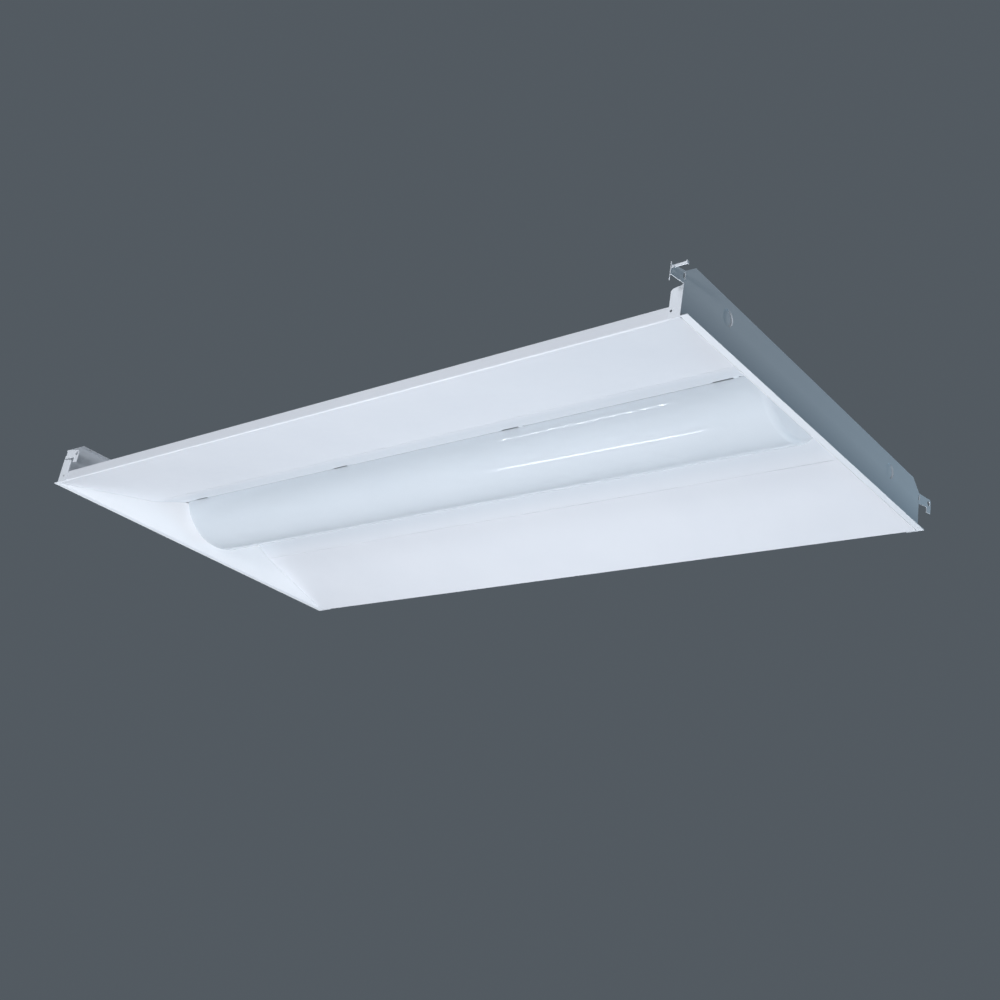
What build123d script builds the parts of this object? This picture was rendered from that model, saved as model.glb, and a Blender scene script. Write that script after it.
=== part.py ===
from build123d import *
from math import atan, cos, hypot, radians, sin, sqrt, tan
import os

os.makedirs("parts", exist_ok=True)

# A lay-in ceiling light for one 2 by 4 foot opening of a ceiling grid, seen from the room.
# X runs along it, Y across it and Z up. z = 0 is the face that rests on the grid.
# All sizes are in mm.

# ---- housing ----
body_length = 1193.5  # over the outer faces of the end plates
body_width = 603.0  # over the side flanges
plate_height = 74.0
plate_gauge = 0.9
end_lip = 9.75  # the part of each end plate that rests on the cross tee
top_flange = 10.0
side_flange_height = 41.0
side_flange_left = 22.0
side_flange_right = 16.0
side_flange_cut = 2.5
corner_cut_y = 20.5
corner_cut_z = 16.0
sheet_gauge = 0.8
fit_gap = 0.2  # between sheets that are fastened together
swing_gap = 0.3  # between a moving piece and what it passes
bend_radius = 1.6

# ---- reflectors, room side ----
rail_height = 17.5
rail_return = 9.0
crease_y = 132.0
crease_z = 37.0
seam_y = 76.45
seam_z = 58.0
slot_length = 40.0
hinge_inset = 1.8  # the lens turns about a line this far behind the facets' edge
hinge_room = 2.2  # from that line to the end of each slot
slot_inset = 51.0  # from the top of each end reflector to the middle of the outer slots
crease_groove_width = 1.0
crease_groove_depth = 0.35

# ---- end reflectors ----
end_panel_run = 30.75  # how far its top stands in from the end plate's outer face
end_panel_foot = 0.6
end_panel_neck = 148.0
end_panel_flange = 12.0

# ---- housing tray ----
tray_width = 180.0  # inside the walls
tray_foot = 16.0
access_x = 330.0
access_length = 100.0
access_width = 70.0
access_lap = 9.0
supply_entry_size = 22.2

# ---- lens ----
lens_radius = 80.7
lens_centre_z = 85.0  # height of the arc centre, above the light
lens_thickness = 2.0
lens_end_gap = 1.0
lens_finger = 8.0
finger_hook = 4.8
finger_rise = 3.5
finger_inset = 2.0  # from the end of its slot
lens_end_round = 8.0
finger_thickness = 1.2

# ---- light tray and boards ----
light_width = 116.0
light_flange = 10.0
light_web_z = 50.0  # underside of its web
light_end_gap = 16.0
board_end_gap = 5.0
board_screw_inset = 20.0
board_screw_offset = 8.0
board_plug_inset = 10.0
feed_inset = 15.0
board_width = 24.0
board_thickness = 1.6
board_y = 28.0
board_gap = 10.0
package_size = 3.0
package_height = 0.7
package_pitch = 18.0
package_gap = 0.5  # least, from the link plug
link_length = 22.0
link_width = 8.0

# ---- driver ----
driver_length = 300.0
driver_width = 30.0
driver_height = 18.0
driver_wall = 0.8
driver_ear = 12.0
transformer_x = -10.0
transformer_length = 34.0
transformer_width = 20.0
transformer_height = 10.0
choke_x = 45.0
choke_length = 18.0
choke_width = 16.0
choke_height = 8.0
capacitor_x = -60.0
capacitor_y = 5.5
capacitor_size = 9.0
capacitor_length = 30.0
filter_x = 90.0
filter_length = 24.0
filter_width = 6.0
filter_height = 7.0

# ---- grid clips ----
clip_root_low = 42.0
clip_root_high = 58.0
clip_arm = 27.0
clip_tongue = 10.5
clip_tongue_low = 37.0
clip_droop = 10.0  # degrees, of its shape when it lies flat
clip_slot_length = 3.2
clip_slot_height = 7.5
clip_hole = 7.5
clip_hole_u = 31.5
clip_hole_z = 52.0
clip_finger = 21.0
clip_finger_height = 3.5
clip_finger_drop = 4.3  # its middle, from the top of the arm's end

# ---- fasteners and leads ----
rivet_size = 3.2
rivet_head = 6.4
rivet_head_height = 0.8
rivet_inset = 12.75
rivet_z = 10.0
tray_rivet_y = 60.0
end_rivet_y = 40.0
hanger_inset = 16.0
screw_size = 3.5
screw_head = 7.0
screw_head_height = 1.6
board_screw_size = 3.0
board_screw_head = 5.5
shank_clearance = 0.1  # on the diameter
lead_size = 1.8
lead_drop = 2.2  # from the boards down to the leads along them
lead_straight = 21.0  # the straight run at each end of a supply lead
bushing_reach = 25.0  # from the driver to the bushing
plug_reach = 85.0  # from the driver to the disconnect
hanger_hole = 5.0
knockout_size = 22.2
knockout_y = 210.0
knockout_z = 50.0
knockout_wall = 0.4
knockout_strike = 1.6  # how far each disc is pushed in

# ---- sizes that follow ----
plate_x = body_length / 2
end_panel_top_x = plate_x - end_panel_run
lens_length = 2 * (end_panel_top_x - lens_end_gap)
light_length = 2 * (end_panel_top_x - light_end_gap)
tray_half = tray_width / 2
light_half = light_width / 2
inner_x = plate_x - plate_gauge
sheet_x = inner_x - fit_gap
side_y = body_width / 2
rail_y = side_y - plate_gauge - fit_gap
wing_angle = atan(crease_z / (rail_y - crease_y))
hem_drop = bend_radius * (tan(wing_angle) + 1 / cos(wing_angle) - 1)  # puts the bent hem on z = 0
wing_slope = (crease_z + hem_drop) / (rail_y - crease_y)
facet_slope = (seam_z - crease_z) / (crease_y - seam_y)
facet_rise = sheet_gauge * hypot(1, facet_slope)
web_z = plate_height - plate_gauge - sheet_gauge  # underside of the housing tray's web
rivet_x = plate_x - rivet_inset
fold_x = plate_x - plate_gauge / 2
fold_y = side_y - plate_gauge / 2
flange_x = plate_x - top_flange * 0.55  # middle of the flat part of the top flange
hanger_y = side_y - corner_cut_y - hanger_inset
slot_depth = hinge_inset + hinge_room
slot_outer_x = end_panel_top_x - slot_inset
slot_x = [k * slot_outer_x / 3 for k in (-3, -1, 1, 3)]
board_length = (light_length - board_gap) / 2 - board_end_gap
board_x = board_gap / 2 + board_length / 2
package_inset = (link_length - board_gap + package_size) / 2 + package_gap
package_count = int((board_length - 2 * package_inset) / package_pitch) + 1
board_spots = [(sx * board_x, sy * board_y) for sx in (-1, 1) for sy in (-1, 1)]
board_low = light_web_z - board_thickness


def facet_top(y):
    """Height of the upper side of the inner facet at a distance y from the middle."""
    return seam_z - (y - seam_y) * facet_slope + facet_rise


def keep(piece, label):
    """Names a finished piece and writes it."""
    piece.label = label
    export_step(piece, "parts/" + label + ".step")


def drill(spots, size, low, high):
    """Round holes along Z between two levels."""
    with Locations(*[(x, y, (low + high) / 2) for x, y in spots]):
        Cylinder(size / 2, high - low, mode=Mode.SUBTRACT)


def uprights(spots, shank, head, head_height, seat, tip, slotted=True):
    """Fasteners along Z: each head sits on the level seat, each shank runs from it to tip."""
    up = 1 if tip > seat else -1
    with BuildPart() as group:
        with Locations(*[(x, y, (seat + tip) / 2) for x, y in spots]):
            Cylinder(shank / 2, abs(tip - seat))
        with Locations(*[(x, y, seat - up * head_height / 2) for x, y in spots]):
            Cylinder(head / 2, head_height)
        if slotted:
            with Locations(*[(x, y, seat - up * head_height * 0.8) for x, y in spots]):
                Box(head * 0.6, head * 0.12, head_height * 0.4, mode=Mode.SUBTRACT)
                Box(head * 0.12, head * 0.6, head_height * 0.4, mode=Mode.SUBTRACT)
    return group.part


def bent_lead(route, size):
    """A round lead along straight runs joined by tangent arcs as wide as the runs allow."""
    points = [Vector(*spot) for spot in route]
    radii = []
    for before, here, after in zip(points, points[1:], points[2:]):
        half_turn = radians((here - before).get_angle(after - here)) / 2
        shorter = min((here - before).length, (after - here).length)
        radii.append(0.45 * shorter / tan(half_turn))
    with BuildPart() as made:
        with BuildLine() as line:
            if radii:
                FilletPolyline(*points, radius=radii)
            else:
                Line(*points)
        with BuildSketch(Plane(origin=points[0], z_dir=points[1] - points[0])):
            Circle(size / 2)
        sweep(path=line.wire())
    ratio = made.part.volume / (line.wire().length * 3.14159265 * size * size / 4)
    print("lead radii", [round(r, 1) for r in radii], "volume ratio", round(ratio, 4))
    return made


# ================================================================ end plates
def end_plate(side_flange):
    """The right-hand end plate: top flange, plate, grid lip and two side flanges."""
    with BuildPart() as made:
        with BuildSketch(Plane.XZ.offset(-side_y)):
            with BuildLine():
                FilletPolyline(
                    (plate_x - top_flange, plate_height),
                    (plate_x, plate_height),
                    (plate_x, plate_gauge),
                    (plate_x + end_lip, plate_gauge),
                    radius=[plate_gauge * 1.5, plate_gauge * 0.7],
                )
                offset(amount=plate_gauge, side=Side.RIGHT)
            make_face()
        extrude(amount=2 * side_y)
        # chamfered top corners
        for side in (-1, 1):
            with BuildSketch(Plane.YZ.offset(plate_x - 2 * top_flange)):
                with BuildLine():
                    Polyline(
                        (side * (side_y - corner_cut_y), plate_height + 1),
                        (side * (side_y - corner_cut_y), plate_height),
                        (side * side_y, plate_height - corner_cut_z),
                        (side * (side_y + 1), plate_height - corner_cut_z),
                        (side * (side_y + 1), plate_height + 1),
                        close=True,
                    )
                make_face()
            extrude(amount=3 * top_flange, mode=Mode.SUBTRACT)
        # side flanges, bent back along the rails
        fall = tan(radians(clip_droop))
        corner_in = side_flange - side_flange_cut
        corner_z = side_flange_height - corner_in * fall
        for side in (-1, 1):
            with BuildSketch(Plane.XZ.offset(-side * side_y)):
                with BuildLine():
                    Polyline(
                        (plate_x, 0),
                        (plate_x - side_flange, 0),
                        (plate_x - side_flange, corner_z - side_flange_cut),
                        (plate_x - corner_in, corner_z),
                        (plate_x, side_flange_height),
                        close=True,
                    )
                make_face()
            extrude(amount=side * plate_gauge)
        # the plate stops short of the clip's fold line, so the clip can turn
        for side in (-1, 1):
            relief = plate_gauge / 2 + swing_gap
            with Locations((fold_x, side * (fold_y - relief + 2.5), (clip_root_low + clip_root_high) / 2)):
                Box(
                    3 * plate_gauge,
                    5.0,
                    clip_root_high - clip_root_low + 2 * swing_gap,
                    mode=Mode.SUBTRACT,
                )
        # knockouts: each disc is struck in and hangs on its torn edge
        for side in (-1, 1):
            with BuildSketch(Plane.YZ.offset(inner_x - knockout_strike)):
                with Locations((side * knockout_y, knockout_z)):
                    Circle(knockout_size / 2)
            extrude(amount=knockout_strike + plate_gauge / 2)
            with BuildSketch(Plane.YZ.offset(plate_x - knockout_strike)):
                with Locations((side * knockout_y, knockout_z)):
                    Circle(knockout_size / 2 - knockout_wall)
            extrude(amount=2 * knockout_strike, mode=Mode.SUBTRACT)
        # rivet holes in the side flanges, tray rivets and hanger holes in the top flange
        for side in (-1, 1):
            with Locations((rivet_x, side * side_y, rivet_z)):
                Cylinder(
                    (rivet_size + shank_clearance) / 2, 4, rotation=(90, 0, 0), mode=Mode.SUBTRACT
                )
        drill(
            [(flange_x, -tray_rivet_y), (flange_x, tray_rivet_y)],
            rivet_size + shank_clearance,
            plate_height - 2,
            plate_height + 1,
        )
        drill(
            [(flange_x, -hanger_y), (flange_x, hanger_y)],
            hanger_hole,
            plate_height - 2,
            plate_height + 1,
        )
    return made.part


keep(end_plate(side_flange_right), "end_plate_right")
keep(mirror(end_plate(side_flange_left), about=Plane.YZ), "end_plate_left")

# ================================================================ reflectors
with BuildPart() as reflector_far:
    with BuildSketch(Plane.YZ.offset(-sheet_x)):
        with BuildLine():
            FilletPolyline(
                (rail_y - rail_return, rail_height),
                (rail_y, rail_height),
                (rail_y, -hem_drop),
                (crease_y, crease_z),
                (seam_y, seam_z),
                radius=bend_radius,
            )
            offset(amount=sheet_gauge, side=Side.RIGHT)
        make_face()
    extrude(amount=2 * sheet_x)
    # the scored line along the crease
    with Locations((0, crease_y, crease_z)):
        Box(
            3 * sheet_x,
            crease_groove_width,
            2 * crease_groove_depth,
            mode=Mode.SUBTRACT,
        )
    # slots for the lens fingers, open towards the seam
    with Locations(*[(x, seam_y + slot_depth / 2 - 1, seam_z) for x in slot_x]):
        Box(slot_length, slot_depth + 2, 12, mode=Mode.SUBTRACT)
    with Locations(*[(x, rail_y, rivet_z) for x in (-rivet_x, rivet_x)]):
        Cylinder((rivet_size + shank_clearance) / 2, 4, rotation=(90, 0, 0), mode=Mode.SUBTRACT)
keep(reflector_far.part, "reflector_far")
keep(mirror(reflector_far.part, about=Plane.XZ), "reflector_near")

# rivets through each side flange and rail, flush outside, headed inside the rail
with BuildPart() as corner_rivets:
    for side in (-1, 1):
        head_y = rail_y - sheet_gauge
        with Locations(*[(x, side * (head_y + side_y) / 2, rivet_z) for x in (-rivet_x, rivet_x)]):
            Cylinder(rivet_size / 2, side_y - head_y, rotation=(90, 0, 0))
        with Locations(
            *[(x, side * (head_y - rivet_head_height / 2), rivet_z) for x in (-rivet_x, rivet_x)]
        ):
            Cylinder(rivet_head / 2, rivet_head_height, rotation=(90, 0, 0))
keep(corner_rivets.part, "corner_rivets")

# ================================================================ end reflectors
end_rivet_x = end_panel_top_x + end_panel_flange / 2 + 0.5
with BuildPart() as end_reflector_right:
    with BuildSketch(Plane.XZ.offset(-side_y)):
        with BuildLine():
            FilletPolyline(
                (end_panel_top_x + end_panel_flange, web_z),
                (end_panel_top_x, web_z),
                (end_panel_top_x, seam_z),
                (inner_x - fit_gap - sheet_gauge, end_panel_foot),
                radius=bend_radius,
            )
            offset(amount=sheet_gauge, side=Side.LEFT)
        make_face()
    extrude(amount=2 * side_y)
    # outline across the light: it follows the wings just below them, then rises in the gap
    with BuildSketch(Plane.YZ.offset(end_panel_top_x - 5)):
        with BuildLine():
            drop = fit_gap
            foot_y = rail_y - (end_panel_foot + hem_drop + drop) / wing_slope
            half = end_panel_neck / 2
            Polyline(
                (-foot_y, end_panel_foot - 5),
                (foot_y, end_panel_foot - 5),
                (foot_y, end_panel_foot),
                (crease_y, crease_z - drop),
                (seam_y, seam_z - drop),
                (half, seam_z - drop),
                (half, web_z + 1),
                (-half, web_z + 1),
                (-half, seam_z - drop),
                (-seam_y, seam_z - drop),
                (-crease_y, crease_z - drop),
                (-foot_y, end_panel_foot),
                close=True,
            )
        make_face()
    extrude(amount=plate_x - end_panel_top_x + 5, mode=Mode.INTERSECT)
    drill(
        [(end_rivet_x, -end_rivet_y), (end_rivet_x, end_rivet_y)],
        rivet_size + shank_clearance,
        web_z - 2,
        web_z + 1,
    )
keep(end_reflector_right.part, "end_reflector_right")
keep(mirror(end_reflector_right.part, about=Plane.YZ), "end_reflector_left")

# ================================================================ housing tray
foot_y = tray_half + tray_foot
tray_x = sheet_x - plate_gauge  # clear of the bend under the end plate's top flange
access_screw_spots = [
    (access_x + sx * (access_length + access_lap) / 2, sy * (access_width + access_lap) / 2)
    for sx in (-1, 1)
    for sy in (-1, 1)
]
light_screw_y = light_half + light_flange * 0.55
light_screw_spots = [(x, sy * light_screw_y) for x in slot_x for sy in (-1, 1)]
driver_ear_x = driver_length / 2 + driver_ear / 2
driver_screw_spots = [(sx * driver_ear_x, sy * driver_width * 0.3) for sx in (-1, 1) for sy in (-1, 1)]
end_rivet_spots = [(sx * end_rivet_x, sy * end_rivet_y) for sx in (-1, 1) for sy in (-1, 1)]
tray_rivet_spots = [(sx * flange_x, sy * tray_rivet_y) for sx in (-1, 1) for sy in (-1, 1)]
earth_spot = (driver_ear_x + 28, 42.0)

with BuildPart() as housing_tray:
    with BuildSketch(Plane.YZ.offset(-tray_x)):
        with BuildLine():
            FilletPolyline(
                (-foot_y, facet_top(foot_y)),
                (-tray_half, facet_top(tray_half)),
                (-tray_half, web_z),
                (tray_half, web_z),
                (tray_half, facet_top(tray_half)),
                (foot_y, facet_top(foot_y)),
                radius=bend_radius,
            )
            offset(amount=sheet_gauge, side=Side.LEFT)
        make_face()
    extrude(amount=2 * tray_x)
    with Locations((access_x, 0, web_z)):
        Box(access_length, access_width, 4, mode=Mode.SUBTRACT)
    drill(
        access_screw_spots + light_screw_spots + driver_screw_spots + [earth_spot],
        screw_size + shank_clearance,
        web_z - 1,
        web_z + 2,
    )
    drill(
        end_rivet_spots + tray_rivet_spots, rivet_size + shank_clearance, web_z - 1, web_z + 2
    )
keep(housing_tray.part, "housing_tray")

plate_low = web_z + sheet_gauge
with BuildPart() as access_plate:
    with BuildSketch(Plane.XY.offset(plate_low)):
        with Locations((access_x, 0)):
            RectangleRounded(access_length + 2 * access_lap, access_width + 2 * access_lap, 4)
            Circle(supply_entry_size / 2, mode=Mode.SUBTRACT)
    extrude(amount=plate_gauge)
    drill(access_screw_spots, screw_size + shank_clearance, plate_low - 1, plate_low + 3)
keep(access_plate.part, "access_plate")

keep(
    uprights(
        access_screw_spots, screw_size, screw_head, screw_head_height, plate_height, web_z - 5
    ),
    "access_screws",
)
keep(
    uprights(
        tray_rivet_spots, rivet_size, rivet_head, rivet_head_height, web_z, plate_height, False
    ),
    "tray_rivets",
)
keep(
    uprights(
        end_rivet_spots,
        rivet_size,
        rivet_head,
        rivet_head_height,
        plate_low,
        web_z - 2 * sheet_gauge,
        False,
    ),
    "end_reflector_rivets",
)


# ================================================================ grid clips
def clip(along, out_x, tilt, tongue_bend, finger):
    """A grid clip on its fold line at the origin. It points along a unit direction in plan, and
    out_x says on which side of it lies the face that is outside when the clip is folded flat."""
    arm_plane = Plane(origin=(0, 0, 0), x_dir=(along[0], along[1], 0), z_dir=(along[1], -along[0], 0))
    rise = tan(radians(tilt))
    start = 2.0
    with BuildPart() as made:
        # the folded knuckle, open at the slot that weakens the fold
        with Locations((0, 0, (clip_root_low + clip_root_high) / 2)):
            Cylinder(plate_gauge / 2, clip_root_high - clip_root_low)
        with BuildSketch(arm_plane.offset(-plate_gauge / 2)):
            with BuildLine():
                Polyline(
                    (0, clip_root_low),
                    (start, clip_root_low),
                    (clip_arm, clip_root_low + 3 + (clip_arm - start) * rise),
                    (clip_arm, clip_root_high + (clip_arm - start) * rise),
                    (start, clip_root_high),
                    (0, clip_root_high),
                    close=True,
                )
            make_face()
        extrude(amount=plate_gauge)
        # the tongue, turned a little about the upright line where the arm ends
        lift = (clip_arm - start) * rise
        turn = Plane(
            origin=(along[0] * clip_arm, along[1] * clip_arm, 0),
            x_dir=(
                along[0] * cos(radians(tongue_bend)) + out_x[0] * sin(radians(tongue_bend)),
                along[1] * cos(radians(tongue_bend)) + out_x[1] * sin(radians(tongue_bend)),
                0,
            ),
            z_dir=(
                along[1] * cos(radians(tongue_bend)) + out_x[1] * sin(radians(tongue_bend)),
                -along[0] * cos(radians(tongue_bend)) - out_x[0] * sin(radians(tongue_bend)),
                0,
            ),
        )
        tongue_middle = lift + (clip_tongue_low + clip_root_high) / 2
        with Locations((along[0] * clip_arm, along[1] * clip_arm, tongue_middle)):
            Cylinder(plate_gauge / 2, clip_root_high - clip_tongue_low)
        with BuildSketch(turn.offset(-plate_gauge / 2)):
            with BuildLine():
                tip = clip_tongue * rise
                Polyline(
                    (0, clip_tongue_low + lift),
                    (clip_tongue, clip_tongue_low + lift + tip),
                    (clip_tongue, clip_root_high + lift + tip - 2),
                    (clip_tongue - 2, clip_root_high + lift + tip),
                    (0, clip_root_high + lift),
                    close=True,
                )
            make_face()
        extrude(amount=plate_gauge)
        if finger:
            # a narrow finger bent outwards from the end of the arm, with an upturned end
            middle = (clip_arm - 0.3, clip_root_high + lift - clip_finger_drop)
            for length, width, push in ((clip_finger, plate_gauge, 0), (plate_gauge, 4.0, clip_finger)):
                centre = (
                    along[0] * middle[0] + out_x[0] * (push + length / 2),
                    along[1] * middle[0] + out_x[1] * (push + length / 2),
                    middle[1],
                )
                size_x = abs(out_x[0]) * length + abs(along[0]) * width
                size_y = abs(out_x[1]) * length + abs(along[1]) * width
                with Locations(centre):
                    Box(size_x, size_y, clip_finger_height)
        # slot at the fold and hole in the tongue
        with Locations((0, 0, (clip_root_low + clip_root_high) / 2 + 1.25)):
            Box(2 * clip_slot_length, 2 * clip_slot_length, clip_slot_height, mode=Mode.SUBTRACT)
        with BuildSketch(turn.offset(-4)):
            with Locations((clip_hole_u - clip_arm + 0.4, clip_hole_z + lift)):
                Circle(clip_hole / 2)
        extrude(amount=8, mode=Mode.SUBTRACT)
    return made.part


# the left ones lie flat, and the right ones are bent out, one down and one up a little
for label, corner, along, out_x, tilt, tongue_bend, finger in (
    ("clip_near_left", (-1, -1), (1, 0), (0, -1), -clip_droop, 0, False),
    ("clip_far_left", (-1, 1), (1, 0), (0, 1), -clip_droop, 0, False),
    ("clip_near_right", (1, -1), (0, -1), (1, 0), -clip_droop - 5, 37, True),
    ("clip_far_right", (1, 1), (0, 1), (1, 0), 7, 4, False),
):
    placed = Pos(corner[0] * fold_x, corner[1] * fold_y, 0) * clip(
        along, out_x, tilt, tongue_bend, finger
    )
    keep(placed, label)

# ================================================================ lens
inner_radius = lens_radius - lens_thickness
rim_y = sqrt(lens_radius**2 - (lens_centre_z - seam_z) ** 2)
inner_rim_y = sqrt(inner_radius**2 - (lens_centre_z - seam_z) ** 2)


def lens_body(length, radius, half_width, end_round):
    """The lens's form along X: a round belly, cut level at the seam, with rounded ends."""
    with BuildPart() as made:
        with BuildSketch(Plane.YZ.offset(-length / 2)):
            with BuildLine():
                ThreePointArc(
                    (-half_width, seam_z), (0, lens_centre_z - radius), (half_width, seam_z)
                )
                Line((half_width, seam_z), (-half_width, seam_z))
            make_face()
        extrude(amount=length)
        fillet(made.edges().filter_by(GeomType.CIRCLE), end_round)
    return made.part


lens_room = lens_body(
    lens_length - 2 * lens_thickness,
    inner_radius,
    inner_rim_y,
    lens_end_round - lens_thickness,
)
with BuildPart() as lens:
    add(lens_body(lens_length, lens_radius, rim_y, lens_end_round))
    add(lens_room, mode=Mode.SUBTRACT)
    # near fingers reach through the slots and over the facet, far ones stand up in theirs
    hook_y = seam_y + slot_depth - 0.2
    tip_y = hook_y + finger_hook
    near_route = [
        (-rim_y + 1.3, seam_z - 0.9),
        (-hook_y, facet_top(hook_y) + swing_gap),
        (-tip_y, facet_top(tip_y) + swing_gap),
    ]
    far_route = [
        (rim_y - 1.3, seam_z - 0.9),
        (seam_y + 2.0, seam_z - 0.4),
        (seam_y + 3.0, seam_z + finger_rise),
    ]
    finger_shift = (slot_length - lens_finger) / 2 - finger_inset
    for x in slot_x:
        for route, side in ((near_route, Side.RIGHT), (far_route, Side.LEFT)):
            with BuildSketch(Plane.YZ.offset(x + finger_shift - lens_finger / 2)):
                with BuildLine():
                    Polyline(*route)
                    offset(amount=finger_thickness, side=side)
                make_face()
            extrude(amount=lens_finger)
keep(lens.part, "lens")

# ================================================================ light tray and boards
light_channel_z = light_web_z + sheet_gauge
bushing_x = -(driver_length / 2 + bushing_reach)
bushing_hole = 14.0
bushing_bore = 11.0
bushing_flange = 17.0
bushing_lip = 1.2


def board_holes(x, y):
    """The three screw places of the board whose middle is at x, y."""
    offset = board_screw_offset if y > 0 else -board_screw_offset
    reach = board_length / 2 - board_screw_inset
    return [(x - reach, y + offset), (x, y - offset), (x + reach, y + offset)]


board_screw_spots = [spot for x, y in board_spots for spot in board_holes(x, y)]

with BuildPart() as light_tray:
    with BuildSketch(Plane.YZ.offset(-light_length / 2)):
        with BuildLine():
            side = light_half - sheet_gauge
            FilletPolyline(
                (-(light_half + light_flange), web_z),
                (-side, web_z),
                (-side, light_channel_z),
                (side, light_channel_z),
                (side, web_z),
                (light_half + light_flange, web_z),
                radius=bend_radius,
            )
            offset(amount=sheet_gauge, side=Side.RIGHT)
        make_face()
    extrude(amount=light_length)
    drill(light_screw_spots, screw_size + shank_clearance, web_z - 2, web_z + 1)
    drill(board_screw_spots, board_screw_size + shank_clearance, light_web_z - 1, light_web_z + 2)
    drill([(bushing_x, 0)], bushing_hole, light_web_z - 1, light_web_z + 2)
keep(light_tray.part, "light_tray")
keep(
    uprights(
        light_screw_spots,
        screw_size,
        screw_head,
        screw_head_height,
        web_z - sheet_gauge,
        plate_low + 2,
    ),
    "light_tray_screws",
)

with BuildPart() as lead_bushing:
    with BuildSketch(Plane.XZ):
        with BuildLine():
            Polyline(
                (bushing_bore / 2, light_web_z - bushing_lip),
                (bushing_flange / 2, light_web_z - bushing_lip),
                (bushing_flange / 2, light_web_z),
                (bushing_hole / 2, light_web_z),
                (bushing_hole / 2, light_channel_z),
                (bushing_flange / 2, light_channel_z),
                (bushing_flange / 2, light_channel_z + bushing_lip),
                (bushing_bore / 2, light_channel_z + bushing_lip),
                close=True,
            )
        make_face()
    revolve(axis=Axis.Z)
keep(Pos(bushing_x, 0, 0) * lead_bushing.part, "lead_bushing")

for (x, y), label in zip(
    board_spots,
    ("led_board_left_near", "led_board_left_far", "led_board_right_near", "led_board_right_far"),
):
    with BuildPart() as board:
        with Locations((x, y, light_web_z - board_thickness / 2)):
            Box(board_length, board_width, board_thickness)
        drill(board_holes(x, y), board_screw_size + shank_clearance, board_low - 1, light_web_z + 1)
    keep(board.part, label)

with BuildPart() as led_packages:
    first = -(package_count - 1) / 2 * package_pitch
    for x, y in board_spots:
        with Locations(
            *[
                (x + first + k * package_pitch, y, board_low - package_height / 2)
                for k in range(package_count)
            ]
        ):
            Box(package_size, package_size, package_height)
keep(led_packages.part, "led_packages")
keep(
    uprights(
        board_screw_spots, board_screw_size, board_screw_head, 1.4, board_low, light_channel_z + 2.2
    ),
    "board_screws",
)

with BuildPart() as board_links:
    with Locations((0, -board_y, board_low - 1.75), (0, board_y, board_low - 1.75)):
        Box(link_length, link_width, 3.5)
    with Locations((0, -board_y, board_low - 3.5), (0, board_y, board_low - 3.5)):
        Box(1.0, link_width, 1.6, mode=Mode.SUBTRACT)
keep(board_links.part, "board_links")

lead_run_z = board_low - lead_drop
feed_x = -(board_gap / 2 + feed_inset)
link_x = board_x + board_length / 2 - board_plug_inset
inner_edge = board_y - board_width / 2
plug_spots = [(feed_x, -1), (feed_x, 1), (link_x, -1), (link_x, 1)]
with BuildPart() as board_connectors:
    with Locations(*[(x, s * (inner_edge + 4), board_low - 2) for x, s in plug_spots]):
        Box(8, 8, 4)
    with Locations(*[(x, s * (inner_edge + 2), lead_run_z) for x, s in plug_spots]):
        Cylinder(
            (lead_size + shank_clearance) / 2, 6, rotation=(90, 0, 0), mode=Mode.SUBTRACT
        )
keep(board_connectors.part, "board_connectors")

# ================================================================ driver
driver_low = web_z - driver_height
driver_half = driver_length / 2
window_width = 20.0
window_low = driver_low + 5.2
window_high = driver_low + 14.5
terminal_z = driver_low + 11.7
with BuildPart() as driver_case:
    case_low = driver_low + driver_wall
    with Locations((0, 0, (case_low + web_z) / 2)):
        Box(driver_length, driver_width, web_z - case_low)
    with Locations((0, 0, (case_low + web_z - driver_wall) / 2)):
        Box(
            driver_length - 2 * driver_wall,
            driver_width - 2 * driver_wall,
            web_z - driver_wall - case_low,
            mode=Mode.SUBTRACT,
        )
    with Locations((0, 0, web_z - driver_wall / 2)):
        Box(driver_length + 2 * driver_ear, driver_width, driver_wall)
    for side in (-1, 1):
        with Locations((side * driver_half, 0, (window_low + window_high) / 2)):
            Box(4 * driver_wall, window_width, window_high - window_low, mode=Mode.SUBTRACT)
    drill(driver_screw_spots, screw_size + shank_clearance, web_z - 2, web_z + 1)
keep(driver_case.part, "driver_case")
keep(
    uprights(
        driver_screw_spots,
        screw_size,
        screw_head,
        screw_head_height,
        web_z - driver_wall,
        plate_low + 2,
    ),
    "driver_screws",
)

board_seat = driver_low + driver_wall + 3
post_spots = [(sx * driver_length * 0.44, sy * driver_width * 0.28) for sx in (-1, 1) for sy in (-1, 1)]
with BuildPart() as driver_lid:
    with Locations((0, 0, driver_low + driver_wall / 2)):
        Box(driver_length, driver_width, driver_wall)
    with Locations(*[(x, y, driver_low + driver_wall + 1.5) for x, y in post_spots]):
        Cylinder(2.2, 3)
keep(driver_lid.part, "driver_lid")

driver_board_top = board_seat + 1.4
with BuildPart() as driver_board:
    with Locations((0, 0, board_seat + 0.7)):
        Box(driver_length - 14, driver_width - 6, 1.4)
keep(driver_board.part, "driver_board")

with BuildPart() as driver_components:
    with Locations((transformer_x, 0, driver_board_top + transformer_height / 2)):
        Box(transformer_length, transformer_width, transformer_height)
    with Locations((choke_x, 0, driver_board_top + choke_height / 2)):
        Box(choke_length, choke_width, choke_height)
    for side in (-1, 1):
        with Locations((capacitor_x, side * capacitor_y, driver_board_top + capacitor_size / 2)):
            Cylinder(capacitor_size / 2, capacitor_length, rotation=(0, 90, 0))
    with Locations((filter_x, 0, driver_board_top + filter_height / 2)):
        Box(filter_length, filter_width, filter_height)
keep(driver_components.part, "driver_components")

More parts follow.
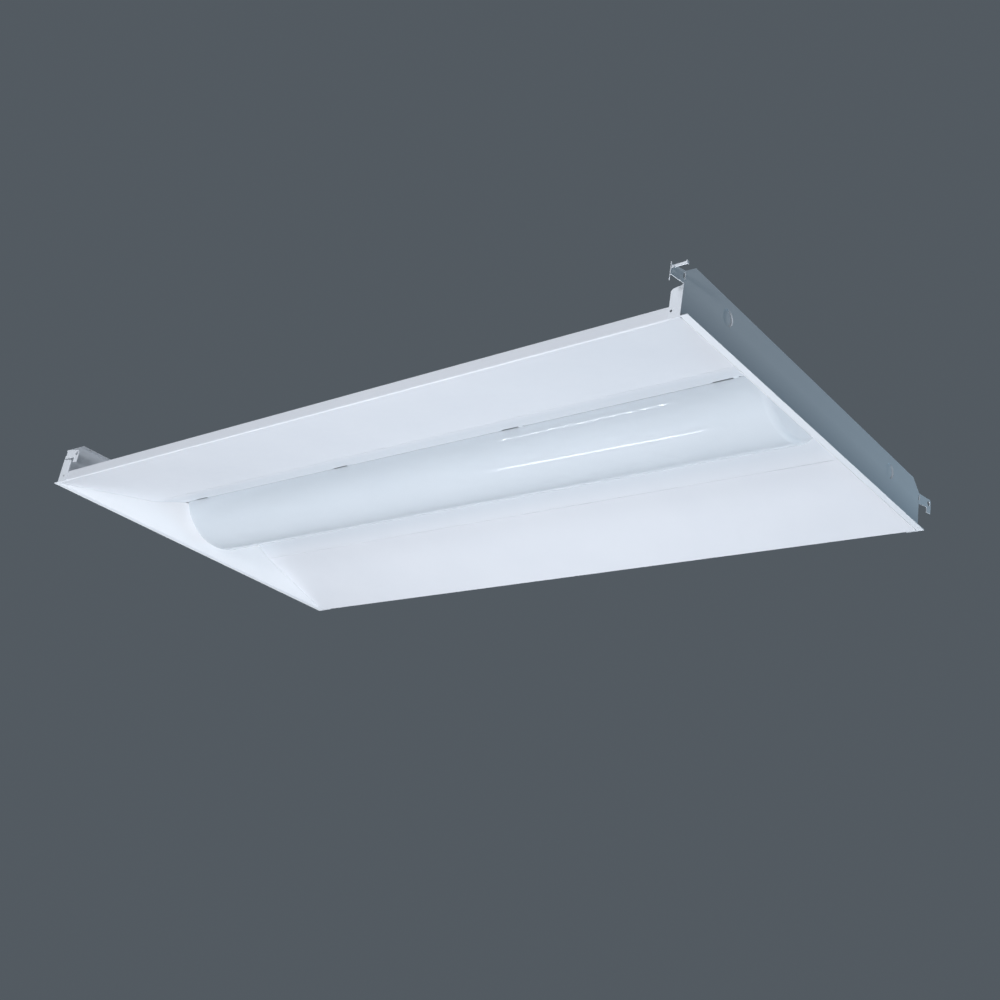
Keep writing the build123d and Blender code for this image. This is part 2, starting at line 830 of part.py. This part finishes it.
terminal_length = 12.0
supply_y = 4.0
output_y = 2.4
with BuildPart() as driver_terminals:
    for side in (-1, 1):
        middle_z = (driver_board_top + window_high - 0.3) / 2
        with Locations((side * (driver_half - terminal_length / 2), 0, middle_z)):
            Box(terminal_length, window_width - 1, window_high - 0.3 - driver_board_top)
    with Locations(*[(driver_half, s * supply_y, terminal_z) for s in (-1, 1)]):
        Cylinder(
            (lead_size + shank_clearance) / 2, 12, rotation=(0, 90, 0), mode=Mode.SUBTRACT
        )
    with Locations(*[(-driver_half, s * output_y, terminal_z) for s in (-1, 1)]):
        Cylinder(
            (lead_size + shank_clearance) / 2, 12, rotation=(0, 90, 0), mode=Mode.SUBTRACT
        )
keep(driver_terminals.part, "driver_terminals")

# ================================================================ disconnect and leads
plug_x = driver_half + plug_reach
plug_length = 22.0
plug_width = 22.0
plug_height = 10.0
plug_z = light_channel_z + plug_height / 2
nose_length = 6.0
socket_length = 28.0
pole_y = 7.0
with BuildPart() as disconnect_plug:
    with Locations((plug_x + plug_length / 2, 0, plug_z)):
        Box(plug_length, plug_width, plug_height)
    with Locations((plug_x + plug_length + nose_length / 2, 0, plug_z)):
        Box(nose_length, plug_width - 5, plug_height - 4)
    with Locations(*[(plug_x, y, plug_z) for y in (-pole_y, 0, pole_y)]):
        Cylinder(
            (lead_size + shank_clearance) / 2, 12, rotation=(0, 90, 0), mode=Mode.SUBTRACT
        )
keep(disconnect_plug.part, "disconnect_plug")

socket_x = plug_x + plug_length
with BuildPart() as disconnect_socket:
    with Locations((socket_x + socket_length / 2, 0, plug_z)):
        Box(socket_length, plug_width, plug_height)
    with Locations((socket_x + nose_length / 2, 0, plug_z)):
        Box(nose_length + 0.4, plug_width - 4.8, plug_height - 3.8, mode=Mode.SUBTRACT)
    with Locations(*[(socket_x + socket_length, y, plug_z) for y in (-pole_y, 0, pole_y)]):
        Box(16, 3.4, 3.4, mode=Mode.SUBTRACT)
keep(disconnect_socket.part, "disconnect_socket")

grip = 5.0  # how far each lead goes into its terminal
for label, start_y, end_y in (
    ("supply_lead_black", -supply_y, -pole_y),
    ("supply_lead_white", supply_y, 0.0),
):
    route = [
        (driver_half - grip, start_y, terminal_z),
        (driver_half + lead_straight, start_y, terminal_z),
        (plug_x - lead_straight, end_y, plug_z),
        (plug_x + grip, end_y, plug_z),
    ]
    keep(bent_lead(route, lead_size).part, label)

for label, side in (("led_lead_red", -1), ("led_lead_blue", 1)):
    route = [
        (-driver_half + grip, side * output_y, terminal_z),
        (bushing_x, side * output_y, terminal_z),
        (bushing_x, side * output_y, lead_run_z),
        (feed_x, side * output_y, lead_run_z),
        (feed_x, side * (inner_edge + 4), lead_run_z),
    ]
    keep(bent_lead(route, lead_size).part, label)

row_route = [(link_x, -(inner_edge + 4), lead_run_z), (link_x, inner_edge + 4, lead_run_z)]
keep(bent_lead(row_route, lead_size).part, "row_link_lead")

lug_thickness = 0.8
lug_low = web_z - lug_thickness
lug_route = [
    (plug_x + grip, pole_y, plug_z),
    (plug_x - lead_straight, pole_y, plug_z),
    (earth_spot[0] + 20, earth_spot[1] - 22, web_z - lead_size / 2 - 0.1),
    (earth_spot[0] + 2.4, earth_spot[1] - 3.6, web_z - lead_size / 2 - 0.1),
]
earth_wire = bent_lead(lug_route, lead_size)
with BuildPart() as earth_lead:
    add(earth_wire.part)
    with Locations((*earth_spot, lug_low + lug_thickness / 2)):
        Cylinder(5, lug_thickness)
    drill([earth_spot], screw_size + shank_clearance, lug_low - 1, web_z + 1)
    with Locations((*earth_spot, lug_low - 2)):
        Cylinder(screw_head / 2 + 0.2, 4, mode=Mode.SUBTRACT)
keep(earth_lead.part, "earth_lead")
keep(
    uprights([earth_spot], screw_size, screw_head, screw_head_height, lug_low, plate_low + 2),
    "earth_screw",
)
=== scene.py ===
# %% [markdown]
# # A recessed troffer light, seen from the room
# The light is a shallow steel box that lies in a ceiling grid. The room sees two crowned white
# reflectors, sloped ends and a long frosted lens. This lesson loads the CAD assembly, gives each
# piece a finish made of nodes, and sets up a studio that looks at the light from below. The CAD
# has every shape of the light already, so only the studio adds a mesh, its floor.

import bpy
from mathutils import Matrix, Vector


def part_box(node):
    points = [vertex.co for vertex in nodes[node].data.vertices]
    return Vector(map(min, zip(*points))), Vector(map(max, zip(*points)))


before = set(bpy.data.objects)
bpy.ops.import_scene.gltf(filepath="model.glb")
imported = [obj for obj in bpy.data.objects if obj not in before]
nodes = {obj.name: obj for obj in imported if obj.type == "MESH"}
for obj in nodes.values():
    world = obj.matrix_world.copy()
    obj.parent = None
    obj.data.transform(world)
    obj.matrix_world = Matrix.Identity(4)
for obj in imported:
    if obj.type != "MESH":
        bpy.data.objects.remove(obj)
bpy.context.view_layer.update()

# %% [markdown]
# ## A material and its nodes
# Every finish here starts from the Principled shader, which covers paint, plastic and metal with a
# few numbers. One helper makes it and one adds further nodes, so each later cell shows only what is
# special about its finish.


# %% Helpers for a material and its nodes
def new_material(name, colour, roughness, metallic=0.0):
    """A material with one Principled shader, and the node tree to build on."""
    material = bpy.data.materials.new(name)
    material.use_nodes = True
    tree = material.node_tree
    shader = tree.nodes["Principled BSDF"]
    shader.inputs["Base Color"].default_value = (*colour, 1.0)
    shader.inputs["Roughness"].default_value = roughness
    shader.inputs["Metallic"].default_value = metallic
    return material, tree, shader


def node(tree, kind, **values):
    """A node with its settings and socket values filled in by name."""
    made = tree.nodes.new(kind)
    for key, value in values.items():
        if hasattr(made, key):
            setattr(made, key, value)
        else:
            made.inputs[key.replace("_", " ")].default_value = value
    return made


print("every finish starts from", new_material.__name__)

# %% [markdown]
# ## Noise that stays on the piece
# No real sheet or plastic is perfectly even. A painted picture could show that, but noise nodes
# need no file and stay sharp at any size. The noise is laid out in the object's own metres, so it
# doesn't slide when a joint moves or the view turns.

# %% Helpers for noise
noise_low = 0.3  # noise seldom goes below this value
noise_high = 0.7  # or above this one

# a Mix node has sockets for every kind of data, and these are the ones for colour
first_colour = 6
second_colour = 7
mixed_colour = 2


def object_noise(tree, scale, detail=3.0, stretch=(1.0, 1.0, 1.0)):
    """Noise with so many cells to the metre, squeezed by the stretch along each axis."""
    place = node(tree, "ShaderNodeTexCoord")
    squeeze = node(tree, "ShaderNodeMapping")
    squeeze.inputs["Scale"].default_value = stretch
    noise = node(tree, "ShaderNodeTexNoise", Scale=scale, Detail=detail)
    tree.links.new(place.outputs["Object"], squeeze.inputs["Vector"])
    tree.links.new(squeeze.outputs["Vector"], noise.inputs["Vector"])
    return noise.outputs["Fac"]


def spread(tree, value, low, high):
    """Maps noise to the range from low to high."""
    ramp = node(tree, "ShaderNodeMapRange")
    ramp.inputs["From Min"].default_value = noise_low
    ramp.inputs["From Max"].default_value = noise_high
    ramp.inputs["To Min"].default_value = low
    ramp.inputs["To Max"].default_value = high
    tree.links.new(value, ramp.inputs["Value"])
    return ramp.outputs["Result"]


def tint(tree, shader, value, dark, light):
    """Colour that wanders between two near shades."""
    mix = node(tree, "ShaderNodeMix", data_type="RGBA")
    tree.links.new(value, mix.inputs["Factor"])
    mix.inputs[first_colour].default_value = (*dark, 1.0)
    mix.inputs[second_colour].default_value = (*light, 1.0)
    tree.links.new(mix.outputs[mixed_colour], shader.inputs["Base Color"])


print("noise is taken from", noise_low, "to", noise_high)

# %% [markdown]
# ## Relief, and putting a finish on
# Orange peel and turning marks are far too fine for the mesh. A bump node bends the light as a
# hollow of a given depth would, and leaves the mesh alone. The second helper puts one material on
# several CAD nodes at once, since the real light has few finishes on many pieces.


# %% Helpers for relief and dressing
def relief(tree, shader, value, depth, strength=1.0):
    """Bump of a real depth in metres."""
    bump = node(tree, "ShaderNodeBump", Strength=strength, Distance=depth)
    tree.links.new(value, bump.inputs["Height"])
    tree.links.new(bump.outputs["Normal"], shader.inputs["Normal"])


def dress(material, *names):
    """Puts one material on several CAD nodes."""
    for name in names:
        mesh = nodes[name].data
        mesh.materials.clear()
        mesh.materials.append(material)
    print(material.name, "on", ", ".join(names))


print("nodes to dress", len(nodes))

# %% [markdown]
# ## Painted light and shade that follow the shape
# Some light and shade is painted into the colour here: a folded sheet greys where light bounces
# less often. The mesh could be cut into faces with materials of their own, but that leaves a hard
# edge. A mask made of the object's own coordinates says where instead, so the painted shade fades
# in and moves with the piece.


# %% Helpers for painted light and shade that follow the shape
def zone(tree, axis, start, full):
    """0 where the distance from the middle along one axis is start, rising to 1 at full."""
    place = node(tree, "ShaderNodeTexCoord")
    parts = node(tree, "ShaderNodeSeparateXYZ")
    size = node(tree, "ShaderNodeMath", operation="ABSOLUTE")
    ramp = node(tree, "ShaderNodeMapRange")
    ramp.inputs["From Min"].default_value = start
    ramp.inputs["From Max"].default_value = full
    tree.links.new(place.outputs["Object"], parts.inputs["Vector"])
    tree.links.new(parts.outputs[axis], size.inputs[0])
    tree.links.new(size.outputs[0], ramp.inputs["Value"])
    return ramp.outputs["Result"]


def blend_colour(tree, shader, mask, colour):
    """Turns the shader's colour towards another one where the mask is 1."""
    before = shader.inputs["Base Color"].links[0].from_socket
    mix = node(tree, "ShaderNodeMix", data_type="RGBA")
    tree.links.new(mask, mix.inputs["Factor"])
    tree.links.new(before, mix.inputs[first_colour])
    mix.inputs[second_colour].default_value = (*colour, 1.0)
    tree.links.new(mix.outputs[mixed_colour], shader.inputs["Base Color"])


# %% [markdown]
# ## White powder coat
# The reflectors, end plates and clips are steel with a white powder coat. Up close such a coat has
# a fine orange peel and is a touch uneven in shade and gloss. So broad noise moves the shade, finer
# noise moves the gloss, and the finest one is the peel, as a shallow bump.

# %% White powder coat
peel_depth = 0.00004


def powder_coat(name, dark, light, roughness):
    """A white coat, and its tree and shader for a piece that needs more."""
    material, tree, shader = new_material(name, light, roughness)
    cloud = object_noise(tree, scale=9.0, detail=2.0)
    tint(tree, shader, spread(tree, cloud, 0.0, 1.0), dark, light)
    wander = object_noise(tree, scale=60.0, detail=4.0)
    rough = spread(tree, wander, roughness - 0.05, roughness + 0.06)
    tree.links.new(rough, shader.inputs["Roughness"])
    peel = object_noise(tree, scale=900.0, detail=2.0)
    relief(tree, shader, peel, depth=peel_depth, strength=0.35)
    return material, tree, shader


print("peel depth in mm", 1000 * peel_depth)

# %% [markdown]
# ## Reflectors
# Each reflector is one sheet: a crowned outer wing, a crease, and a steeper facet beside the lens.
# A painted shade greys the facet a little past the crease, because light bounces less often there.

# %% Reflectors
facet_painted_shade = (0.70, 0.74, 0.775)
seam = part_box("reflector_far")[0].y
shade_start = seam + 0.05755  # just outside the crease
facet_middle = seam + 0.03155
wing_white, tree, shader = powder_coat(
    "reflector_white", dark=(0.765, 0.790, 0.820), light=(0.785, 0.808, 0.835), roughness=0.42
)
# painted shade: the facet beside the lens greys past the crease
blend_colour(tree, shader, zone(tree, "Y", shade_start, facet_middle), facet_painted_shade)
dress(wing_white, "reflector_near", "reflector_far")
print("the seam is", round(seam, 4), "m from the middle")

# %% [markdown]
# ## End reflectors
# The sloped ends have the same coat. They face each other along the light, so more light bounces
# between them, and a whiter white is painted in as painted light for that.

# %% End reflectors
# painted light: the end reflectors are whiter than the wings
end_painted_light_white, tree, shader = powder_coat(
    "end_reflector_painted_light", dark=(0.90, 0.91, 0.92), light=(0.915, 0.925, 0.932), roughness=0.42
)
dress(end_painted_light_white, "end_reflector_left", "end_reflector_right")

# %% [markdown]
# ## End plates and clips
# The end plates and the clips that are cut from them share one coat. A painted shade greys the
# outer face of the plate towards its lip. Two masks are multiplied for it: low down, and on the
# outer face alone, so the side that looks into the light stays white. The face of the lip itself,
# below the sheet's own thickness, stays white too.

# %% End plates and clips
plate_shade = (0.82, 0.85, 0.875)
lip_painted_shade = (0.54, 0.58, 0.62)
shade_top = 0.045
shade_foot = 0.004
lip_fade = 0.0003
clip_low, clip_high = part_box("clip_near_left")
outer_face = -clip_low.x
sheet_gauge = clip_high.y - clip_low.y
plate_white, tree, shader = powder_coat(
    "end_plate_white", dark=(0.80, 0.83, 0.86), light=plate_shade, roughness=0.45
)
low_down = zone(tree, "Z", shade_top, shade_foot)
# this mask rises inside the thickness of the sheet, between its two faces
outside = zone(tree, "X", outer_face - 0.6 * sheet_gauge, outer_face - 0.2 * sheet_gauge)
low_outside = node(tree, "ShaderNodeMath", operation="MULTIPLY")
tree.links.new(low_down, low_outside.inputs[0])
tree.links.new(outside, low_outside.inputs[1])
# painted shade: the outer face darkens towards the lip
blend_colour(tree, shader, low_outside.outputs[0], lip_painted_shade)
lip_face = zone(tree, "Z", sheet_gauge + lip_fade, sheet_gauge)
blend_colour(tree, shader, lip_face, plate_shade)
dress(plate_white, "end_plate_left", "end_plate_right")
dress(plate_white, "clip_near_left", "clip_far_left", "clip_near_right", "clip_far_right")
print("plates", round(1000 * sheet_gauge, 2), "mm thick, outer faces at", round(outer_face, 4), "m")

# %% [markdown]
# ## Frosted lens
# The lens is an extruded acrylic sheet, frosted so the boards behind it don't show. A fully clear
# shader would need many samples and show the inside. Here the body scatters light like milk glass,
# and a thin smooth coat gives long narrow reflections. Daylight that comes through a frosted sheet
# also bounces about behind it and comes out again, which evens out the shading across the curve. A
# slight cool glow is painted light that stands for that light. The rounded ends are painted a
# little whiter, painted light that lifts the shade in the narrow gaps at the ends.

# %% Frosted lens
lens_painted_glow = (0.78, 0.88, 1.0)
scatter_reach = 0.008
lens_end_painted_light = (0.49, 0.52, 0.54)
end_depth = 0.010  # the ends are whiter from this far in
end_fade = 0.008
lens_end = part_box("lens")[1].x
lens_white, tree, shader = new_material("frosted_acrylic", (0.43, 0.46, 0.48), roughness=0.5)
cloud = spread(tree, object_noise(tree, scale=5.0, detail=2.0), 0.0, 1.0)
tint(tree, shader, cloud, dark=(0.42, 0.45, 0.47), light=(0.435, 0.465, 0.485))
end_start = lens_end - end_depth
# painted light: the rounded ends are whiter than the rest of the lens
blend_colour(tree, shader, zone(tree, "X", end_start, end_start + end_fade), lens_end_painted_light)
shader.inputs["Coat Weight"].default_value = 0.7
shader.inputs["Coat Roughness"].default_value = 0.05
# painted light: a cool glow from the lens, standing for light bounced behind it
shader.inputs["Emission Color"].default_value = (*lens_painted_glow, 1.0)
shader.inputs["Emission Strength"].default_value = 0.30
shader.inputs["Subsurface Weight"].default_value = 0.5
shader.inputs["Subsurface Radius"].default_value = (scatter_reach, scatter_reach, scatter_reach)
shader.inputs["Subsurface Scale"].default_value = 1.0
frost = object_noise(tree, scale=700.0, detail=2.0)
relief(tree, shader, frost, depth=0.00003, strength=0.25)
dress(lens_white, "lens")

# %% [markdown]
# ## Zinc coated sheet
# The housing tray, access plate, light tray and driver can are plain galvanised steel. Its spangle
# is a patchwork of crystals, each reflecting a little differently. Voronoi cells are the natural
# node for that: one random value per cell sets both the shade and the gloss.

# %% Zinc coated sheet
cells_per_metre = 130.0


def galvanised(name, dark, light):
    """Bare zinc with a spangle."""
    material, tree, shader = new_material(name, light, roughness=0.4, metallic=0.85)
    place = node(tree, "ShaderNodeTexCoord")
    cells = node(tree, "ShaderNodeTexVoronoi", Scale=cells_per_metre)
    tree.links.new(place.outputs["Object"], cells.inputs["Vector"])
    grey = node(tree, "ShaderNodeRGBToBW")
    tree.links.new(cells.outputs["Color"], grey.inputs["Color"])
    tint(tree, shader, grey.outputs["Val"], dark, light)
    rough = spread(tree, grey.outputs["Val"], low=0.34, high=0.5)
    tree.links.new(rough, shader.inputs["Roughness"])
    relief(tree, shader, object_noise(tree, scale=400.0), depth=0.00003, strength=0.3)
    return material


zinc_sheet = galvanised("zinc_sheet", dark=(0.50, 0.52, 0.54), light=(0.60, 0.62, 0.64))
dress(zinc_sheet, "housing_tray", "access_plate", "light_tray", "driver_case", "driver_lid")
print("spangle about", round(1000 / cells_per_metre, 1), "mm across")

# %% [markdown]
# ## LED boards
# An LED board is a white solder mask over copper. The mask is smooth, with the faint shadow of the
# tracks below it. The tracks run in straight blocks, so a brick pattern fits them better than
# noise.

# %% LED boards
mask_white, tree, shader = new_material("board_mask", (0.85, 0.86, 0.85), roughness=0.3)
place = node(tree, "ShaderNodeTexCoord")
tracks = node(tree, "ShaderNodeTexBrick", Scale=28.0)
tracks.inputs["Mortar Size"].default_value = 0.012
tracks.inputs["Color1"].default_value = (0.86, 0.87, 0.86, 1.0)
tracks.inputs["Color2"].default_value = (0.84, 0.85, 0.84, 1.0)
tracks.inputs["Mortar"].default_value = (0.74, 0.75, 0.73, 1.0)
tree.links.new(place.outputs["Object"], tracks.inputs["Vector"])
tree.links.new(tracks.outputs["Color"], shader.inputs["Base Color"])
relief(tree, shader, tracks.outputs["Fac"], depth=0.00004, strength=0.4)
dress(
    mask_white,
    "led_board_left_near",
    "led_board_left_far",
    "led_board_right_near",
    "led_board_right_far",
)

# %% [markdown]
# ## LED packages
# Each package is a white cup filled with yellow phosphor gel. The gel is soft and glossy, and it
# covers nearly all that shows, so the whole package gets a mottled yellow under a clear coat.

# %% LED packages
gel, tree, shader = new_material("phosphor_gel", (0.85, 0.66, 0.12), roughness=0.3)
mottle = object_noise(tree, scale=900.0)
tint(tree, shader, mottle, dark=(0.78, 0.58, 0.08), light=(0.9, 0.74, 0.2))
shader.inputs["Coat Weight"].default_value = 0.7
dress(gel, "led_packages")

# %% [markdown]
# ## Screws and rivets
# Screws are bright zinc with fine turning marks, and rivets are drawn aluminium. The marks are the
# same noise as before, squeezed along one axis, so it reads as rings and scratches.


# %% Screws and rivets
def turned_metal(name, dark, light, roughness):
    """Metal with marks that run round the vertical axis."""
    material, tree, shader = new_material(name, light, roughness, metallic=0.9)
    marks = object_noise(tree, scale=300.0, detail=4.0, stretch=(1.0, 1.0, 12.0))
    tint(tree, shader, spread(tree, marks, 0.0, 1.0), dark, light)
    relief(tree, shader, marks, depth=0.00002, strength=0.4)
    return material


dress(
    turned_metal("bright_zinc", (0.60, 0.62, 0.63), (0.74, 0.75, 0.76), roughness=0.3),
    "access_screws",
    "light_tray_screws",
    "board_screws",
    "driver_screws",
    "earth_screw",
)
dress(
    turned_metal("drawn_aluminium", (0.55, 0.56, 0.57), (0.66, 0.67, 0.68), roughness=0.38),
    "corner_rivets",
    "tray_rivets",
    "end_reflector_rivets",
)

# %% [markdown]
# ## Plastic pieces and the driver's board
# Connectors are moulded nylon with a fine grain, and the bushing is black rubber. The driver's
# board is green laminate, and its wound parts are dark. They are small, so one helper does for all.


# %% Plastic pieces and the driver's board
def moulded(name, dark, light, roughness, grain=1500.0, depth=0.00002):
    """Plastic or rubber with a grain that shows in the shade and as a relief."""
    material, tree, shader = new_material(name, light, roughness)
    fine = object_noise(tree, grain)
    tint(tree, shader, spread(tree, fine, 0.0, 1.0), dark, light)
    relief(tree, shader, fine, depth, strength=0.5)
    return material


dress(
    moulded("nylon", (0.80, 0.80, 0.76), (0.86, 0.86, 0.83), 0.5),
    "board_links",
    "board_connectors",
    "disconnect_plug",
    "disconnect_socket",
    "driver_terminals",
)
rubber = moulded("bushing_rubber", (0.02, 0.02, 0.02), (0.04, 0.04, 0.04), 0.7)
laminate = moulded("laminate", (0.03, 0.22, 0.09), (0.05, 0.28, 0.12), 0.35, grain=200.0)
wound_parts = moulded("wound_parts", (0.05, 0.05, 0.06), (0.1, 0.1, 0.11), 0.55)
dress(rubber, "lead_bushing")
dress(laminate, "driver_board")
dress(wound_parts, "driver_components")

# %% [markdown]
# ## Leads
# The leads are extruded insulation, each in the colour that tells an electrician what it carries.
# The last line lists any node that was left without a finish, so a forgotten piece shows at once.

# %% Leads
darker_share = 0.85
for name, colour in (
    ("supply_lead_black", (0.02, 0.02, 0.02)),
    ("supply_lead_white", (0.80, 0.80, 0.78)),
    ("led_lead_red", (0.55, 0.03, 0.03)),
    ("led_lead_blue", (0.03, 0.08, 0.42)),
    ("row_link_lead", (0.03, 0.08, 0.42)),
    ("earth_lead", (0.03, 0.33, 0.09)),
):
    darker = tuple(darker_share * c for c in colour)
    dress(moulded(name + "_insulation", darker, colour, 0.42, grain=800.0), name)
bare = [name for name, piece in nodes.items() if not any(piece.data.materials)]
print("nodes without a finish:", bare)

# %% [markdown]
# ## Camera
# The photograph was taken from below one end, looking up along the light. The long edges and the
# cross edges each run towards a vanishing point, and those give the place and turn of the camera,
# and its focal length. The camera also leans a little to one side, so its axes are written out as
# three directions.

# %% Camera
frame_width = 36.0
focal_share = 1.3718  # focal length over the width of the frame
camera_spot = Vector((1.3499, -1.3305, -0.7874))
right = Vector((0.7633, 0.6268, 0.1563)).normalized()
down = Vector((-0.1414, 0.3982, -0.9063))
forward = Vector((-0.6304, 0.6697, 0.3926)).normalized()
up = right.cross(forward).normalized()
turn = Matrix((right, up, -forward)).transposed().to_4x4()
camera_data = bpy.data.cameras.new("camera")
camera_data.sensor_width = frame_width
camera_data.lens = frame_width * focal_share
camera = bpy.data.objects.new("camera", camera_data)
camera.matrix_world = Matrix.Translation(camera_spot) @ turn
bpy.context.scene.collection.objects.link(camera)
bpy.context.scene.camera = camera
print("camera up against the measured down:", round(up.dot(-down), 4))

# %% [markdown]
# ## One kind of lamp
# Every lamp in this studio is a flat rectangle. Large ones give soft edges, and long thin ones give
# thin reflections. Soft lamps are left out of reflections, where they would lay broad bands over
# the lens, so the helper takes that as a choice.

# %% A helper for lamps
cool_white = (0.92, 0.94, 1.0)


def panel(name, spot, aim, width, height, power, sharp=False, colour=cool_white):
    """A lamp whose width runs as nearly along X as its aim allows. Only a sharp one shows in
    reflections."""
    data = bpy.data.lights.new(name, "AREA")
    data.shape = "RECTANGLE"
    data.size = width
    data.size_y = height
    data.energy = power
    data.color = colour
    lamp = bpy.data.objects.new(name, data)
    back = (Vector(spot) - Vector(aim)).normalized()
    across = (Vector((1.0, 0.0, 0.0)) - back * back.x).normalized()
    lamp.matrix_world = (
        Matrix.Translation(spot)
        @ Matrix((across, back.cross(across), back)).transposed().to_4x4()
    )
    lamp.visible_camera = False
    lamp.visible_glossy = sharp
    bpy.context.scene.collection.objects.link(lamp)
    return lamp


print("lamp colour", cool_white)

# %% [markdown]
# ## Floor and room
# A white thing on a white ground disappears, so the room is a soft grey, with a pale floor well
# below the light. No ceiling is built, so the light hangs free and its back can be seen too.

# %% Floor and room
floor_level = -2.6
floor_size = 16.0
room_colour = (0.72, 0.86, 1.0)
room_strength = 0.12
bpy.ops.mesh.primitive_plane_add(size=floor_size, location=(0.0, 0.0, floor_level))
floor = bpy.context.object
floor.name = "floor"
floor_grey = moulded(
    "floor_grey", (0.60, 0.61, 0.62), (0.64, 0.65, 0.66), 0.8, grain=3.0, depth=0.0005
)
floor.data.materials.append(floor_grey)

world = bpy.data.worlds.new("studio")
world.use_nodes = True
background = world.node_tree.nodes["Background"]
background.inputs["Color"].default_value = (*room_colour, 1.0)
background.inputs["Strength"].default_value = room_strength
bpy.context.scene.world = world
bpy.context.scene.view_settings.view_transform = "Standard"
print("floor", floor_size, "m wide, at", floor_level)

# %% [markdown]
# ## Light from below
# A key lamp and a broad fill shine up at the reflectors. Both stand inside the length of the light,
# so the outer face of the right-hand end plate stays in the shade as in the photograph.

# %% Light from below
panel("key", (0.45, -0.4, -1.5), aim=(-0.58, 0.0, 0.03), width=0.3, height=0.9, power=13.3)
panel("fill", (-0.4, -0.1, -2.4), aim=(-0.2, 0.0, 0.0), width=2.2, height=2.2, power=28.0)
print("key and fill set up")

# %% [markdown]
# ## Light from the sides and above
# A small bluish lamp beyond the right-hand end lights the end plate from the far side. A white one
# rakes over the plate from the near side and picks out the rings of its knockouts. A long lamp
# lights the near rail. One above the housing does show in reflections, because bare zinc has hardly
# any colour but what it reflects, and its spangle shows only that way.

# %% Light from the sides and above
sky_blue = (0.55, 0.80, 1.0)
far_end_spot = (1.6, 1.4, -0.45)
far_end_aim = (0.6, 0.25, 0.03)
panel("far_end", far_end_spot, far_end_aim, width=0.5, height=0.5, power=9.3, colour=sky_blue)
panel("near_end", (1.25, -3.3, -0.5), aim=(0.6, 0.0, 0.03), width=0.4, height=0.4, power=24.0)
panel("near_side", (-0.2, -3.4, 0.1), aim=(-0.2, 0.0, 0.0), width=3.2, height=1.4, power=51.0)
back_spot = (-0.3, 0.0, 2.4)
back_aim = (-0.3, 0.0, 0.05)
panel("back", back_spot, back_aim, width=1.2, height=0.6, power=20.0, sharp=True)
print("side lamps and back lamp set up")

# %% [markdown]
# ## A line in the lens
# The photograph shows a thin line of light along the lens. A strip lamp gives it, and its place
# comes from the lens arc: light leaves the arc at the angle it came in, so each end of the line
# points back to one spot in the room, and the strip hangs level between those two spots.

# %% A line in the lens
line_level = -1.25
line_start = Vector((-0.909, -0.191, line_level))
line_end = Vector((-0.276, -0.054, line_level))
line_middle = (line_start + line_end) / 2
line_aim = (0.12, -0.04, 0.016)
line = panel("line", line_middle, line_aim, width=0.65, height=0.05, power=1.6, sharp=True)
along = (line_end - line_start).normalized()
below = Vector((0.0, 0.0, -1.0))
level = Matrix((along, below.cross(along), below)).transposed().to_4x4()
line.matrix_world = Matrix.Translation(line_middle) @ level
print("strip lamp over", round((line_end - line_start).length, 3), "m")

# %% [markdown]
# ## Dots beside the seam
# Nearer the seam the photograph shows a row of dots. They are found the same way as the line, from
# a row of small lamps on the near side.

# %% Dots beside the seam
dot_count = 11
dot_pitch = 0.0534
dot_start = -1.11
dot_width = dot_pitch / 3
dot_height = 0.07
dot_side = -1.5  # how far on the near side the row hangs
dot_level = -0.595
lens_side = -0.07  # the spot on the lens, beside the seam
lens_level = 0.046
for k in range(dot_count):
    dot_x = dot_start + (k + 0.5) * dot_pitch
    dot_spot = (dot_x, dot_side, dot_level)
    dot_aim = (dot_x, lens_side, lens_level)
    panel("dot_%d" % k, dot_spot, dot_aim, dot_width, dot_height, power=0.12, sharp=True)
print(dot_count, "dots over", round(dot_count * dot_pitch, 3), "m")
